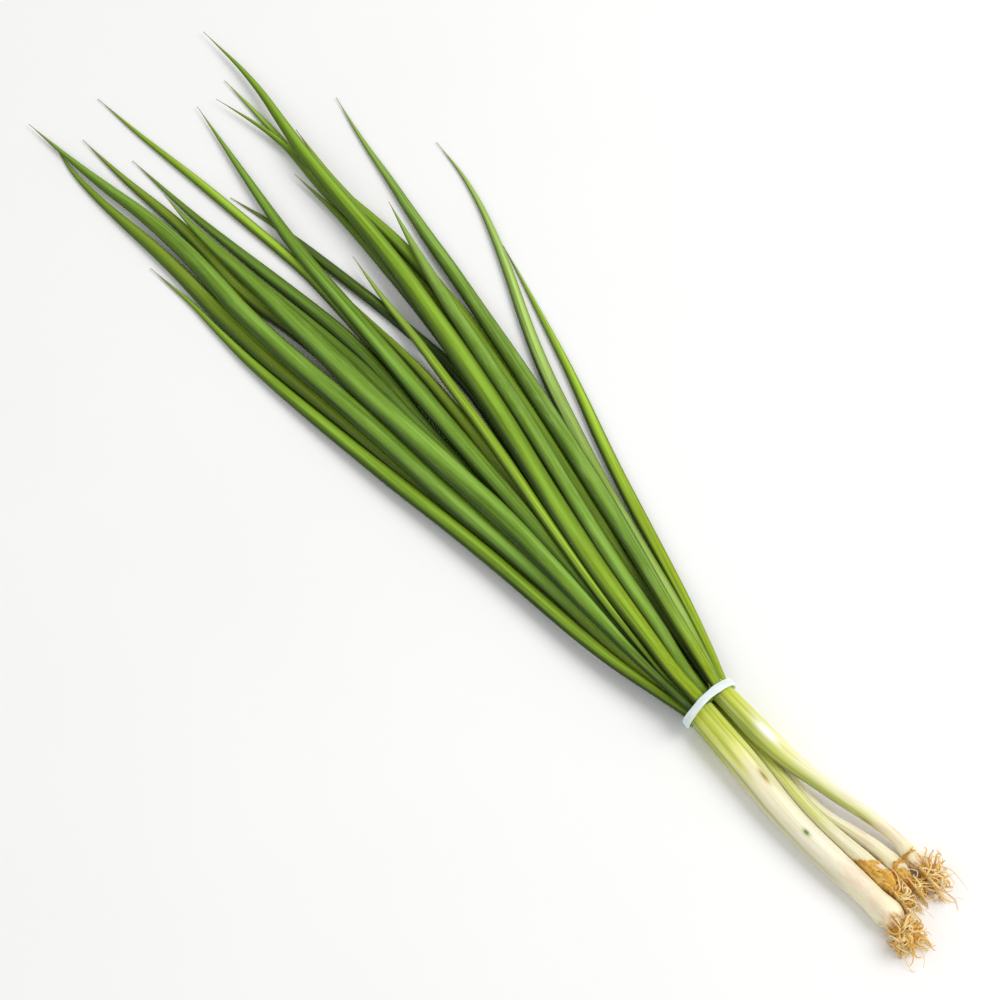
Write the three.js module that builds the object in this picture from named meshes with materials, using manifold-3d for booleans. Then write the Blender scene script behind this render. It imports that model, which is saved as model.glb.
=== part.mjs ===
// A bunch of spring onions lying on its side, tied with one flat rubber band.
//
// Millimetres, +Z up. +X runs along the bunch from the roots to the leaf tips and +Y runs
// across it. The bunch rests on z = 0, and the origin is below the middle of its outline.
//
// Every onion is a white shaft with a tuft of roots behind it and a fan of hollow leaves in
// front. The shafts end and the leaves begin under the band. Each strand, shaft or leaf, is a
// row of flattened round sections standing in planes of constant x. The courses below say
// where each strand runs in plan. How high it lies follows from piling the strands up: they
// sink until they rest on the table or on each other, with a small gap left between them.

import * as THREE from 'three';
import { mergeVertices } from 'three/addons/utils/BufferGeometryUtils.js';
import Module from 'manifold-3d';

// ---------------------------------------------------------------- driving dimensions

const GAP = 0.3;                // clear space kept between neighbouring pieces
const PILE_GAP = 0.5;           // the same while piling, in the stretched space used there

const BAND_X = 2.7;             // middle of the rubber band along the bunch
const BAND_WIDTH = 2.5;
const BAND_THICKNESS = 1.0;
const BAND_SLANT = -0.08;       // how far the band leans along x for each mm across
const BAND_POINTS = 28;         // points round the band
const BAND_REACH = 1.6;         // the strands spread no further than this from their ends inside it
const HOLD_Y = 2.3;             // middle of the strands inside the band
const HOLD_HALF_WIDTH = 8.3;    // the band holds the strands inside an oval this wide
const HOLD_HALF_HEIGHT = 5.0;   // and this high

const NECK_X = 2.5;             // where shafts end and leaves begin, hidden under the band
const LEAF_STEP = 12.5;         // spacing of a leaf's sections
const LEAF_SIDES = 8;
const LEAF_FLATNESS = 0.62;     // thickness over width of a leaf
const FULL_WIDTH_X = 95;        // a leaf has opened to its full width here
const TIP_TAPER = 0.075;        // width gained per mm back from a leaf's tip

const SHAFT_STEP = 9;           // spacing of a shaft's sections
const SHAFT_SIDES = 12;
const SHAFT_FLATNESS_ROOT = 0.95;
const SHAFT_FLATNESS_NECK = 0.72;

const LAYER_HEIGHT = 2.4;       // height between layers of the pile at the start
const SIGHT_HEIGHT = 6;         // the courses hold for strands lying at this height
const SIGHT_LEAN = 0.28;        // lower strands lie this much further to -y per mm
const SIGHT_SLIDE = 0.37;       // and this much further to +x
const RESTING_HEIGHT = 1.0;     // of a leaf's tip

const FOOT_ROUNDING = 1.6;      // length of the rounded foot of a shaft
const FOOT_SHRINK = 0.7;
const PLATE_THICKNESS = 1.4;    // root plate behind the foot of a shaft
const PLATE_SIDES = 10;
const PLATE_SHARE = 0.85;       // width of the root plate over that of the foot
const PLATE_NARROWING = 0.8;    // width of its back over that of its front
const ROOT_SIDES = 4;
const ROOT_STEPS = 5;
const ROOT_THINNING = 0.75;     // share of its thickness that a root loses towards its end
const ROOT_TURN = 2.4;          // angle between one root and the next round the plate

// ---------------------------------------------------------------- colours

const LEAF_COLOURS = ['#6f9a2b', '#5c8a20', '#7ca637', '#4f7d1a', '#86a848'];
const SHAFT_COLOUR = '#f0ecc8';
const ROOT_COLOUR = '#d8aa58';
const BAND_COLOUR = '#e6eeec';

// ---------------------------------------------------------------- the onions

// steps: length of the shaft in steps back from the neck. course: [x, y] stations. width:
// [x, width] stations. layer: 1 lies lowest. roots: how many, how far back they reach, and
// between which y beside the foot they fan out.
const SHAFTS = [
  {
    name: 'onion_1',
    steps: 9,
    layer: 3,
    course: [[-79, 1.2], [-70, 1.9], [-60, 3.0], [-50, 3.9], [-40, 4.4], [-30, 4.4], [-20, 4.2], [0, 4.8]],
    width: [[-79, 6.8], [-70, 7.4], [-60, 8.0], [-50, 8.3], [-40, 8.4], [-30, 8.9], [-20, 9.3], [0, 8.8]],
    roots: { count: 17, reach: 12, spread: [-3.4, 5.4], strand: 0.95, height: 4.6 },
  },
  {
    name: 'onion_2',
    steps: 8,
    layer: 2,
    course: [[-70, -3.2], [-60, -2.6], [-50, -1.2], [-40, -0.4], [-30, -0.6], [-20, -0.6], [0, 1.0]],
    width: [[-70, 4.4], [-60, 4.6], [-50, 4.0], [-40, 3.4], [-25, 3.2], [0, 3.2]],
    roots: { count: 11, reach: 13, spread: [-1.6, 1.7], strand: 0.95, height: 3.0 },
  },
  {
    name: 'onion_3',
    steps: 8,
    layer: 0,
    course: [[-70, -8.0], [-60, -6.6], [-50, -3.4], [-40, -0.4], [-30, -1.0], [-20, -3.2], [0, -3.4]],
    width: [[-70, 4.2], [-60, 4.3], [-50, 3.6], [-40, 3.0], [-20, 3.0], [0, 3.0]],
    roots: { count: 11, reach: 13, spread: [-2.4, 1.2], strand: 0.95, height: 4.8 },
  },
  {
    name: 'onion_4',
    steps: 8,
    layer: 3,
    course: [[-70, -13.4], [-60, -13.2], [-50, -10.9], [-40, -8.0], [-30, -5.6], [-20, -3.6], [0, -3.0]],
    width: [[-70, 4.6], [-60, 3.6], [-50, 4.2], [-40, 4.9], [-30, 5.6], [-18, 7.2], [0, 6.6]],
    roots: { count: 15, reach: 14, spread: [-4.6, 1.6], strand: 0.95, height: 3.4 },
  },
];

// width is the full width, neck the width under the band. Names give the onion and the leaf,
// counted from +y to -y within each onion.
const LEAVES = [
  {
    name: 'onion_1_leaf_1', layer: 4, width: 4.8, neck: 3.2, taper: 0.08,
    course: [[2, 9.1], [15, 12.7], [30, 16.8], [45, 19.6], [60, 21.7], [90, 26.2], [120, 32.5],
      [150, 38.4], [180, 43.4], [200, 45.5], [220, 49.0]],
  },
  {
    name: 'onion_1_leaf_2', layer: 2, width: 6.0, neck: 2.1, taper: 0.095,
    course: [[2, 8.7], [30, 13.8], [60, 18.6], [90, 24.0], [110, 27.8], [130, 31.4], [150, 35.1],
      [170, 38.7], [190, 41.4], [220, 44.0], [240, 46.9], [260, 49.2], [277, 48.4]],
  },
  {
    name: 'onion_1_leaf_3', layer: 3, width: 6.5, neck: 2.9, taper: 0.1,
    course: [[2, 8.2], [15, 10.3], [30, 12.8], [60, 16.3], [80, 19.1], [100, 22.4], [130, 26.5],
      [145, 29.0], [158, 31.6], [172, 34.0], [188, 36.2], [200, 36.7], [212, 37.3], [225, 38.7],
      [240, 41.4], [255, 45.0], [270, 48.0], [287, 50.9]],
  },
  {
    name: 'onion_2_leaf_1', layer: 3, width: 6.9, neck: 2.2, taper: 0.13,
    course: [[2, 8.0], [15, 9.6], [30, 11.0], [60, 12.8], [80, 14.4], [100, 17.0], [120, 19.5],
      [140, 22.0], [160, 23.7], [180, 25.6], [200, 27.8], [220, 30.4], [238, 31.3]],
  },
  {
    name: 'onion_2_leaf_2', layer: 1, width: 4.8, neck: 1.8, taper: 0.095,
    course: [[2, 5.6], [40, 10.4], [80, 14.3], [120, 18.6], [150, 22.2], [165, 24.2], [178, 27.0],
      [190, 30.2], [200, 31.9], [212, 32.2], [225, 33.2], [240, 35.7], [255, 38.3], [272, 40.2]],
  },
  {
    name: 'onion_2_leaf_3', layer: 2, width: 4.6, neck: 1.9, taper: 0.1,
    course: [[2, 6.6], [40, 9.8], [80, 12.2], [110, 14.2], [130, 15.7], [150, 17.5], [170, 20.7],
      [185, 23.4], [200, 25.8], [215, 27.9]],
  },
  {
    name: 'onion_2_leaf_4', layer: 1, width: 5.0, neck: 1.8, taper: 0.085,
    course: [[2, 3.6], [40, 8.2], [80, 12.2], [108, 15.6], [125, 16.2], [140, 15.3], [150, 14.9],
      [162, 15.8], [175, 17.8], [190, 20.8], [210, 24.9], [230, 28.6], [256, 32.1]],
  },
  {
    name: 'onion_1_leaf_4', layer: 3, width: 3.2, neck: 1.3, taper: 0.1,
    course: [[2, 8.6], [15, 9.4], [30, 8.9], [50, 7.9], [70, 6.3], [90, 3.8], [110, 1.6], [130, 0.1],
      [150, -1.2], [170, -1.8], [184, -3.0]],
  },
  {
    name: 'onion_1_leaf_5', layer: 3, width: 5.4, neck: 2.2,
    course: [[2, 6.2], [30, 8.0], [60, 8.6], [80, 8.7], [100, 9.0], [130, 9.1], [160, 9.1],
      [180, 9.4], [197, 9.4], [210, 8.6], [230, 6.9], [250, 5.1], [260, 4.2]],
  },
  {
    name: 'onion_2_leaf_5', layer: 2, width: 4.6, neck: 1.9, taper: 0.1,
    course: [[2, 4.8], [40, 6.8], [80, 6.4], [100, 5.7], [120, 4.7], [140, 4.6], [155, 5.7],
      [165, 6.5], [177, 7.4]],
  },
  {
    name: 'onion_3_leaf_1', layer: 1, width: 3.5, neck: 1.7,
    course: [[2, 2.4], [40, 5.6], [80, 7.6], [120, 9.4], [150, 10.4], [175, 10.9], [190, 11.8],
      [200, 13.3], [220, 16.6], [240, 20.0], [260, 24.1], [282, 27.7]],
  },
  {
    name: 'onion_1_leaf_6', layer: 7, width: 6.4, neck: 4.2,
    course: [[2, 7.2], [15, 7.1], [30, 5.5], [50, 3.4], [70, 0.6], [90, -2.9], [110, -6.1],
      [130, -8.5], [150, -10.2], [170, -11.6], [190, -12.3], [210, -12.2], [230, -13.0],
      [250, -14.9], [265, -15.0], [282, -13.5]],
  },
  {
    name: 'onion_3_leaf_2', layer: 2, width: 3.8, neck: 1.9, taper: 0.11,
    course: [[2, 1.6], [40, 1.8], [80, -0.6], [100, -2.9], [115, -4.6], [128, -5.0], [140, -4.2],
      [150, -2.4], [160, -0.7], [170, 1.3], [180, 3.4], [190, 5.5], [200, 7.6], [212, 10.8], [226, 15.4]],
  },
  {
    name: 'onion_3_leaf_3', layer: 3, width: 3.6, neck: 1.9, taper: 0.1,
    course: [[2, 3.0], [40, 1.8], [80, -2.4], [110, -6.0], [140, -8.5], [160, -9.4], [180, -9.6],
      [200, -8.7], [220, -6.4]],
  },
  {
    name: 'onion_3_leaf_4', layer: 1, width: 4.0, neck: 1.7, taper: 0.09,
    course: [[2, 0.2], [40, 0.0], [80, -3.6], [120, -8.4], [160, -11.4], [190, -11.6], [210, -11.0],
      [230, -10.7], [250, -9.6], [263, -8.8]],
  },
  {
    name: 'onion_4_leaf_1', layer: 5, width: 5.0, neck: 4.2, taper: 0.13,
    course: [[2, 1.8], [15, 1.2], [30, -0.8], [50, -2.6], [70, -5.0], [90, -8.0], [110, -11.1],
      [130, -13.5], [150, -16.0], [165, -18.3], [180, -20.9], [192, -23.2]],
  },
  {
    name: 'onion_3_leaf_5', layer: 4, width: 2.6, neck: 1.8, taper: 0.1,
    course: [[2, 2.2], [40, 0.2], [80, -4.6], [110, -9.0], [130, -11.9], [150, -14.2], [169, -15.3]],
  },
  {
    name: 'onion_4_leaf_2', layer: 1, width: 3.6, neck: 1.7, taper: 0.1,
    course: [[2, -1.6], [40, -3.0], [80, -7.4], [120, -12.0], [160, -14.2], [190, -14.3],
      [210, -14.1], [220, -14.6], [234, -15.9]],
  },
  {
    name: 'onion_4_leaf_3', layer: 2, width: 4.2, neck: 1.9, taper: 0.08,
    course: [[2, -1.4], [40, -5.0], [80, -9.6], [110, -13.0], [140, -15.6], [160, -16.8],
      [170, -16.9], [185, -15.9], [200, -13.9], [215, -11.7], [230, -9.4], [243, -6.8], [258, -2.1]],
  },
  {
    name: 'onion_4_leaf_4', layer: 3, width: 3.8, neck: 2.0, taper: 0.11,
    course: [[2, -2.4], [30, -5.4], [60, -8.9], [80, -11.6], [100, -14.3], [120, -17.0], [140, -18.9],
      [166, -19.9]],
  },
  {
    name: 'onion_4_leaf_5', layer: 4, width: 5.4, neck: 3.4,
    course: [[2, -3.0], [15, -4.7], [30, -6.7], [60, -11.2], [80, -13.9], [100, -16.6], [120, -19.3],
      [140, -21.8], [160, -24.2], [180, -26.2], [200, -28.7], [220, -30.9], [236, -33.5]],
  },
  {
    name: 'onion_4_leaf_6', layer: 2, width: 4.6, neck: 3.8,
    course: [[2, -3.8], [15, -6.6], [30, -9.4], [60, -13.8], [80, -17.3], [100, -22.0], [120, -27.3],
      [140, -34.3], [150, -38.2], [160, -41.7], [170, -44.9], [180, -47.1], [190, -48.6], [203, -49.1]],
  },
  {
    name: 'onion_4_leaf_7', layer: 1, width: 4.3, neck: 3.0,
    course: [[2, -4.6], [15, -8.5], [30, -12.2], [50, -16.5], [70, -20.8], [90, -25.9], [110, -31.5],
      [130, -36.2], [150, -40.6], [160, -42.5]],
  },
];

// ---------------------------------------------------------------- curves through stations

function smoothstep(from, to, x) {
  const t = THREE.MathUtils.clamp((x - from) / (to - from), 0, 1);
  return t * t * (3 - 2 * t);
}

// A smooth curve y(x) through stations [x, y], cubic between them and straight beyond them.
function through(stations, x) {
  const last = stations.length - 1;
  let i = 0;
  while (i < last - 1 && x > stations[i + 1][0]) i += 1;
  const slope = (k) => {
    const a = stations[Math.max(k - 1, 0)];
    const b = stations[Math.min(k + 1, last)];
    return (b[1] - a[1]) / (b[0] - a[0]);
  };
  const [x0, y0] = stations[i];
  const [x1, y1] = stations[i + 1];
  if (x > x1) return y1 + slope(last) * (x - x1);
  const span = x1 - x0;
  const t = THREE.MathUtils.clamp((x - x0) / span, 0, 1);
  const t2 = t * t;
  const t3 = t2 * t;
  return (2 * t3 - 3 * t2 + 1) * y0 + (t3 - 2 * t2 + t) * span * slope(i)
    + (3 * t2 - 2 * t3) * y1 + (t3 - t2) * span * slope(i + 1);
}

// ---------------------------------------------------------------- strands before piling

// A strand is { name, course, sections }, and a section is { x, y, z, half, flat }: half the
// width at x, and thickness over width.
function makeShaft(shaft) {
  const sections = [];
  for (let k = 0; k <= shaft.steps; k += 1) {
    const x = NECK_X - k * SHAFT_STEP;
    const half = through(shaft.width, x) / 2;
    const flat = THREE.MathUtils.lerp(SHAFT_FLATNESS_ROOT, SHAFT_FLATNESS_NECK, smoothstep(-60, 0, x));
    sections.push({ x, y: through(shaft.course, x), z: shaft.layer * LAYER_HEIGHT, half, flat });
  }
  return { name: shaft.name, course: shaft.course, sections };
}

// A leaf's last section stands beyond its tip and has next to no width. It only guides the tip.
function makeLeaf(leaf) {
  const { name, course, width, neck, layer } = leaf;
  const start = NECK_X + GAP;
  const tip = course[course.length - 1][0] + SIGHT_SLIDE * (SIGHT_HEIGHT - RESTING_HEIGHT);
  const taper = leaf.taper ?? TIP_TAPER;
  const sections = [];
  for (let x = start; x < tip + LEAF_STEP; x += LEAF_STEP) {
    const opened = THREE.MathUtils.lerp(neck, width, smoothstep(NECK_X, FULL_WIDTH_X, x));
    const narrowed = width * Math.tanh(taper * Math.max(tip - x, 0.5) / width);
    const half = Math.min(opened, narrowed) / 2;
    sections.push({ x, y: through(course, x), z: layer * LAYER_HEIGHT, half, flat: LEAF_FLATNESS });
  }
  return { name, course, sections, tip };
}

// ---------------------------------------------------------------- piling the strands up

const SETTLE_ROUNDS = 600;
const CLEAR_ROUNDS = 250;       // last rounds, in which strands are only pushed apart
const PUSHES = 3;               // passes of pushing apart in each round
const SHAFT_SINK = 0.1;         // how far a section sinks in a round: the shafts are heavier
const LEAF_SINK = 0.05;
const STIFFNESS = 0.35;         // how strongly a section follows its two neighbours
const COURSE_PULL = 0.35;       // how strongly a section returns to its course
const SUB_STEPS = 4;            // places between two sections where overlap is looked for
const LIFT_FROM = 13;           // the band holds the strands off the table: fully this near to
const LIFT_REACH = 50;          // it, and no longer this far from it

function floorAt(x) {
  const lift = BAND_THICKNESS + GAP;
  return lift * (1 - smoothstep(LIFT_FROM, LIFT_REACH, Math.abs(x - BAND_X)));
}

// Where a strand's course takes a section, allowing for the height at which it lies.
function homeOf(strand, section) {
  const above = section.z - SIGHT_HEIGHT;
  return through(strand.course, section.x + SIGHT_SLIDE * above) + SIGHT_LEAN * above;
}

// Keeps a section inside the oval that the band makes.
function hold(section) {
  const middle = BAND_THICKNESS + GAP + HOLD_HALF_HEIGHT;
  const v = (section.z - middle) / (HOLD_HALF_HEIGHT - section.half * section.flat);
  const u = (section.y - HOLD_Y) / (HOLD_HALF_WIDTH - section.half);
  const out = Math.hypot(u, v);
  if (out > 1) {
    section.y = HOLD_Y + (section.y - HOLD_Y) / out;
    section.z = middle + (section.z - middle) / out;
  }
}

// Keeps each section in line with its neighbours, on its course and above the table.
function relax(strand, sink) {
  const { sections } = strand;
  const before = sections.map((s) => ({ y: s.y - homeOf(strand, s), z: s.z }));
  sections.forEach((s, k) => {
    const a = before[Math.max(k - 1, 0)];
    const b = before[Math.min(k + 1, sections.length - 1)];
    const stiff = sink ? STIFFNESS : STIFFNESS / 8;
    s.z += stiff * ((a.z + b.z) / 2 - before[k].z);
    s.y += stiff * ((a.y + b.y) / 2 - before[k].y);
    if (sink) {
      s.y -= COURSE_PULL * before[k].y;
      s.z -= sink;
    }
    s.z = Math.max(s.z, floorAt(s.x) + s.half * s.flat);
  });
}

function between(sections, k, t) {
  const a = sections[k];
  const b = sections[k + 1];
  if (!b) return a;
  return {
    y: THREE.MathUtils.lerp(a.y, b.y, t),
    z: THREE.MathUtils.lerp(a.z, b.z, t),
    half: THREE.MathUtils.lerp(a.half, b.half, t),
    flat: THREE.MathUtils.lerp(a.flat, b.flat, t),
  };
}

// Pushes two strands apart where they are closer than the gap. z is stretched by the flatness
// so that both sections are circles there.
function separate(one, two) {
  const count = Math.min(one.sections.length, two.sections.length);
  for (let k = 0; k < count; k += 1) {
    const steps = k < count - 1 ? SUB_STEPS : 1;
    for (let j = 0; j < steps; j += 1) {
      const t = j / SUB_STEPS;
      const p = between(one.sections, k, t);
      const q = between(two.sections, k, t);
      const flat = (p.flat + q.flat) / 2;
      const dy = q.y - p.y;
      const dz = (q.z - p.z) / flat;
      const distance = Math.hypot(dy, dz) || 1e-6;
      const missing = p.half + q.half + PILE_GAP - distance;
      if (missing > 0) {
        const pushY = 0.5 * missing * dy / distance;
        const pushZ = 0.5 * missing * dz / distance * flat;
        for (const [offset, weight] of [[0, 1 - t], [1, t]]) {
          const a = one.sections[k + offset];
          const b = two.sections[k + offset];
          if (weight > 0 && a && b) {
            a.y -= pushY * weight;
            a.z -= pushZ * weight;
            b.y += pushY * weight;
            b.z += pushZ * weight;
          }
        }
      }
    }
  }
}

// All the strands given start in the same plane and share the planes of their sections.
function pile(strands, sink) {
  for (let round = 0; round < SETTLE_ROUNDS + CLEAR_ROUNDS; round += 1) {
    strands.forEach((strand) => relax(strand, round < SETTLE_ROUNDS ? sink : 0));
    for (let push = 0; push < PUSHES; push += 1) {
      for (let i = 0; i < strands.length; i += 1) {
        for (let j = i + 1; j < strands.length; j += 1) separate(strands[i], strands[j]);
      }
    }
    strands.forEach((strand) => {
      hold(strand.sections[0]);
      strand.sections.forEach((s) => {
        s.z = Math.max(s.z, floorAt(s.x) + s.half * s.flat);
      });
    });
  }
}

// ---------------------------------------------------------------- solids

const wasm = await Module();
wasm.setup();

// Bends a lathe of unit radius: ring k of the lathe takes the place of rings[k], which gives
// for a point (u, v) of the unit circle its place in space. The two ends close on a point.
function bentLathe(rings, start, end, sides) {
  const profile = [new THREE.Vector2(0, 0)];
  rings.forEach((ring, k) => profile.push(new THREE.Vector2(1, k + 1)));
  profile.push(new THREE.Vector2(0, rings.length + 1));
  const geometry = new THREE.LatheGeometry(profile, sides);
  const places = geometry.attributes.position;
  const point = new THREE.Vector3();
  for (let i = 0; i < places.count; i += 1) {
    const k = Math.round(places.getY(i));
    if (k === 0) point.copy(start);
    else if (k > rings.length) point.copy(end);
    else rings[k - 1](places.getZ(i), places.getX(i), point);
    places.setXYZ(i, point.x, point.y, point.z);
  }
  geometry.computeVertexNormals();
  return geometry;
}

// The solid of a row of sections in order of rising x.
function strandGeometry(sections, start, end, sides) {
  const rings = sections.map((s) => (u, v, point) => {
    point.set(s.x, s.y + u * s.half, s.z + v * s.half * s.flat);
  });
  return bentLathe(rings, start, end, sides);
}

function centreOf(section) {
  return new THREE.Vector3(section.x, section.y, section.z);
}

function leafGeometry(strand) {
  const drawn = strand.sections.slice(0, -1);
  const last = drawn[drawn.length - 1];
  const beyond = between(strand.sections, drawn.length - 1, (strand.tip - last.x) / LEAF_STEP);
  const end = new THREE.Vector3(strand.tip, beyond.y, beyond.z);
  return strandGeometry(drawn, centreOf(drawn[0]), end, LEAF_SIDES);
}

function shaftGeometry(strand) {
  const sections = [...strand.sections].reverse();
  const foot = sections[0];
  const rounded = { ...foot, x: foot.x - FOOT_ROUNDING, half: foot.half * FOOT_SHRINK };
  const rings = [rounded, ...sections];
  return strandGeometry(rings, centreOf(rounded), centreOf(rings[rings.length - 1]), SHAFT_SIDES);
}

// A root: a thin strand along a curve, thinning to a point.
function rootGeometry(points, thickness) {
  const curve = new THREE.CatmullRomCurve3(points);
  const up = new THREE.Vector3(0, 0, 1);
  const rings = [];
  for (let k = 0; k < ROOT_STEPS; k += 1) {
    const t = k / ROOT_STEPS;
    const place = curve.getPoint(t);
    const along = curve.getTangent(t);
    const across = new THREE.Vector3().crossVectors(up, along).normalize();
    const over = new THREE.Vector3().crossVectors(along, across);
    const radius = 0.5 * thickness * (1 - ROOT_THINNING * t);
    rings.push((u, v, point) => {
      point.copy(place).addScaledVector(across, u * radius).addScaledVector(over, v * radius);
    });
  }
  return bentLathe(rings, points[0], points[points.length - 1], ROOT_SIDES);
}

function toSolid(geometry) {
  const bare = geometry.clone();
  bare.deleteAttribute('normal');
  bare.deleteAttribute('uv');
  const merged = mergeVertices(bare, 1e-4);
  const triangles = [];
  const index = merged.index.array;
  for (let i = 0; i < index.length; i += 3) {
    const [a, b, c] = [index[i], index[i + 1], index[i + 2]];
    if (a !== b && b !== c && c !== a) triangles.push(a, b, c);
  }
  return new wasm.Manifold(new wasm.Mesh({
    numProp: 3,
    vertProperties: new Float32Array(merged.attributes.position.array),
    triVerts: new Uint32Array(triangles),
  }));
}

function toGeometry(solid) {
  const mesh = solid.getMesh();
  const geometry = new THREE.BufferGeometry();
  geometry.setAttribute('position', new THREE.BufferAttribute(mesh.vertProperties, 3));
  geometry.setIndex(new THREE.BufferAttribute(mesh.triVerts, 1));
  geometry.computeVertexNormals();
  return geometry;
}

// The root plate behind the foot of a shaft, joined with its fan of roots.
function rootsGeometry(strand, roots) {
  const foot = strand.sections[strand.sections.length - 1];
  const face = foot.x - FOOT_ROUNDING - GAP;
  const half = foot.half * PLATE_SHARE;
  const front = { ...foot, x: face, half };
  const back = { ...foot, x: face - PLATE_THICKNESS, half: half * PLATE_NARROWING };
  let solid = toSolid(strandGeometry([back, front], centreOf(back), centreOf(front), PLATE_SIDES));
  for (let i = 0; i < roots.count; i += 1) {
    const t = i / (roots.count - 1);
    const turn = i * ROOT_TURN;
    const side = THREE.MathUtils.lerp(roots.spread[0], roots.spread[1], t);
    const reach = roots.reach * (0.72 + 0.28 * Math.sin(1.7 * i + 0.6));
    const low = roots.strand * 0.6;
    const top = low + roots.height * (0.5 + 0.5 * Math.cos(turn));
    const inside = face - 0.4 * PLATE_THICKNESS;
    const startY = foot.y + half * 0.55 * Math.sin(turn);
    const startZ = foot.z + half * 0.5 * foot.flat * Math.cos(turn);
    const points = [
      new THREE.Vector3(inside, startY, startZ),
      new THREE.Vector3(face - 0.38 * reach, foot.y + 0.75 * side, Math.max(low, 0.6 * (startZ + top) / 1.6)),
      new THREE.Vector3(face - 0.72 * reach, foot.y + 1.05 * side, low + 0.5 * (top - low)),
      new THREE.Vector3(face - reach, foot.y + 0.9 * side + 0.6 * Math.sin(turn), low),
    ];
    solid = solid.add(toSolid(rootGeometry(points, roots.strand)));
  }
  return toGeometry(solid);
}

// How far an ellipse reaches in the direction (ny, nz).
function reachOf(section, ny, nz) {
  const wide = section.half * ny;
  const tall = section.half * section.flat * nz;
  return section.y * ny + section.z * nz + Math.hypot(wide, tall);
}

// The corners of the tight loop round all sections, at a distance from them.
function loopRound(sections, distance) {
  const reach = [];
  for (let i = 0; i < BAND_POINTS; i += 1) {
    const angle = (2 * Math.PI * i) / BAND_POINTS;
    const ny = Math.cos(angle);
    const nz = Math.sin(angle);
    const far = Math.max(...sections.map((s) => reachOf(s, ny, nz)));
    reach.push({ ny, nz, far: far + distance });
  }
  return reach.map((a, i) => {
    const b = reach[(i + 1) % BAND_POINTS];
    const det = a.ny * b.nz - a.nz * b.ny;
    const y = (a.far * b.nz - b.far * a.nz) / det;
    const z = (a.ny * b.far - b.ny * a.far) / det;
    return new THREE.Vector2(y, z);
  });
}

function bandGeometry(shafts, leaves) {
  const held = [];
  [...shafts, ...leaves].forEach((strand) => {
    held.push(strand.sections[0]);
    held.push({ ...strand.sections[0], ...between(strand.sections, 0, BAND_REACH / LEAF_STEP) });
  });
  const shape = new THREE.Shape(loopRound(held, GAP + BAND_THICKNESS));
  shape.holes.push(new THREE.Path(loopRound(held, GAP)));
  const geometry = new THREE.ExtrudeGeometry(shape, { depth: BAND_WIDTH, bevelEnabled: false });
  geometry.applyMatrix4(new THREE.Matrix4().makeBasis(
    new THREE.Vector3(0, 1, 0),
    new THREE.Vector3(0, 0, 1),
    new THREE.Vector3(1, 0, 0),
  ));
  geometry.translate(BAND_X - BAND_WIDTH / 2, 0, 0);
  geometry.applyMatrix4(new THREE.Matrix4().set(
    1, BAND_SLANT, 0, 0,
    0, 1, 0, 0,
    0, 0, 1, 0,
    0, 0, 0, 1,
  ));
  geometry.computeVertexNormals();
  return geometry;
}

// ---------------------------------------------------------------- the bunch

const shafts = SHAFTS.map(makeShaft);
pile(shafts, SHAFT_SINK);
const leaves = LEAVES.map(makeLeaf);
pile(leaves, LEAF_SINK);

const bunch = new THREE.Group();

function addPiece(name, geometry, color, roughness) {
  const material = new THREE.MeshStandardMaterial({ color, roughness, metalness: 0 });
  const mesh = new THREE.Mesh(geometry, material);
  mesh.name = name;
  bunch.add(mesh);
}

shafts.forEach((strand, i) => {
  addPiece(`${strand.name}_shaft`, shaftGeometry(strand), SHAFT_COLOUR, 0.45);
  addPiece(`${strand.name}_roots`, rootsGeometry(strand, SHAFTS[i].roots), ROOT_COLOUR, 0.9);
});
leaves.forEach((strand, i) => {
  addPiece(strand.name, leafGeometry(strand), LEAF_COLOURS[i % LEAF_COLOURS.length], 0.4);
});
addPiece('rubber_band', bandGeometry(shafts, leaves), BAND_COLOUR, 0.6);

// The origin goes below the middle of the outline.
const box = new THREE.Box3().setFromObject(bunch);
const middle = box.getCenter(new THREE.Vector3());
bunch.position.set(-middle.x, -middle.y, -box.min.z);

export default bunch;
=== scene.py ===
"""The looks of a bunch of spring onions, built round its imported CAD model.

Metres, in the CAD's own frame: +X runs from the roots to the leaf tips, +Y across the bunch
and +Z up, and the bunch lies on z = 0. Every leaf, shaft, root tuft and the rubber band is made
again as a fine surface along the sections of its CAD node, which it then stands for.
"""

import math
import random

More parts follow.
